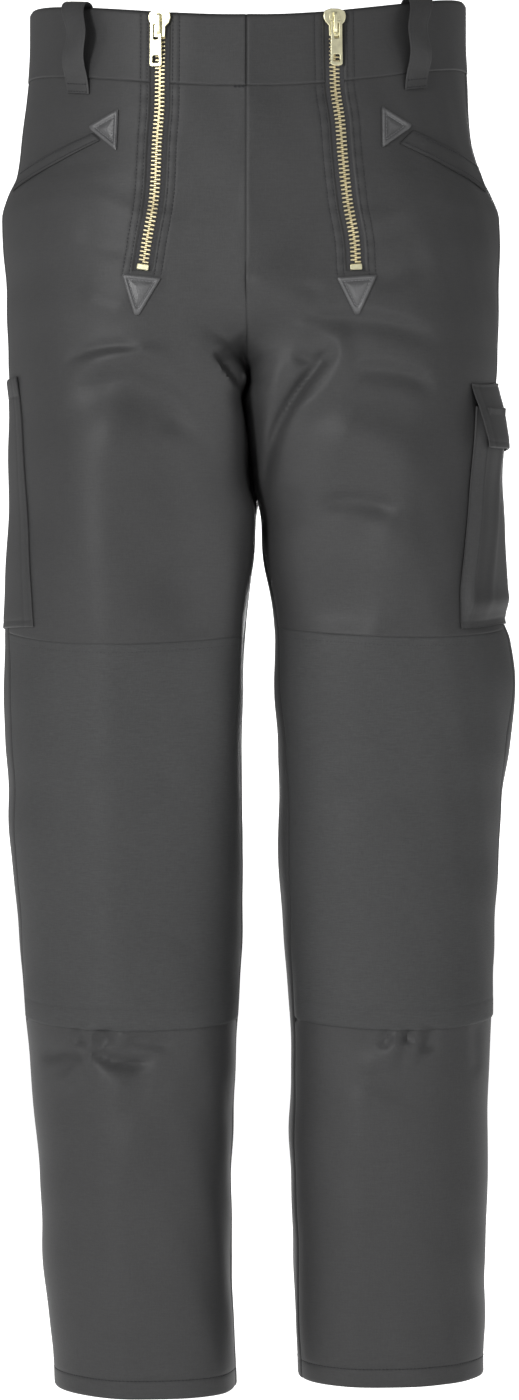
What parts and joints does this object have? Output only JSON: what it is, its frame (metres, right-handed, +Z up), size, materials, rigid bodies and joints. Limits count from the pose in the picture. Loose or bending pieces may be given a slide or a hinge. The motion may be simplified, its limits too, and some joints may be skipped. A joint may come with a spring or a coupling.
{
  "type": "work trousers",
  "caption": "Work trousers as worn, with two front zips, slanting hip pockets, leather patches, separate knee panels, belt loops, a rule pocket and a flapped side pocket.",
  "frame": {"origin": "middle of the waist, level with the middle of the waistband at the sides, where the wearer's waist holds the trousers", "axes": "+Z up along the wearer's body, -Y out of the front, +X to the wearer's left"},
  "size_m": [0.3967, 0.2684, 1.0783],
  "materials": {
    "moleskin": "dark grey moleskin with a soft nap",
    "knee_cloth": "dark grey plain weave, matt",
    "leather": "black semi-gloss leather",
    "zip_tape": "dark woven zip tape",
    "zip_metal": "pale brass"
  },
  "bodies": {
    "garment": {"front_right": "moleskin", "back_right": "moleskin", "knee_right": "knee_cloth", "shin_right": "moleskin", "waistband_front_right": "moleskin", "waistband_side_right": "moleskin", "loop_front_right": "moleskin", "loop_back_right": "moleskin", "zip_tab_right": "leather", "pocket_tab_right": "leather", "pocket_welt_right": "moleskin", "zip_tape_right": "zip_tape", "zip_chain_right": "zip_metal", "zip_stop_right": "zip_metal", "zip_slider_right": "zip_metal", "front_left": "moleskin", "back_left": "moleskin", "knee_left": "knee_cloth", "shin_left": "moleskin", "waistband_front_left": "moleskin", "waistband_side_left": "moleskin", "loop_front_left": "moleskin", "loop_back_left": "moleskin", "zip_tab_left": "leather", "pocket_tab_left": "leather", "pocket_welt_left": "moleskin", "zip_tape_left": "zip_tape", "zip_chain_left": "zip_metal", "zip_stop_left": "zip_metal", "zip_slider_left": "zip_metal", "loop_centre_back": "moleskin", "rule_pocket": "moleskin", "cargo_pocket": "moleskin", "cargo_flap": "moleskin"},
    "pull_right": {"zip_pull_right": "zip_metal"},
    "pull_left": {"zip_pull_left": "zip_metal"}
  },
  "joints": [
    {"name": "zip_pull_right_swing", "type": "hinge", "parent": "garment", "child": "pull_right", "pos_m": [-0.06755, -0.11834, -0.00339], "axis": [-0.9826, 0.186, 0], "range_deg": [0, 170]},
    {"name": "zip_pull_left_swing", "type": "hinge", "parent": "garment", "child": "pull_left", "pos_m": [0.06375, -0.11885, -0.00264], "axis": [-0.9859, -0.1675, 0], "range_deg": [0, 170]}
  ]
}
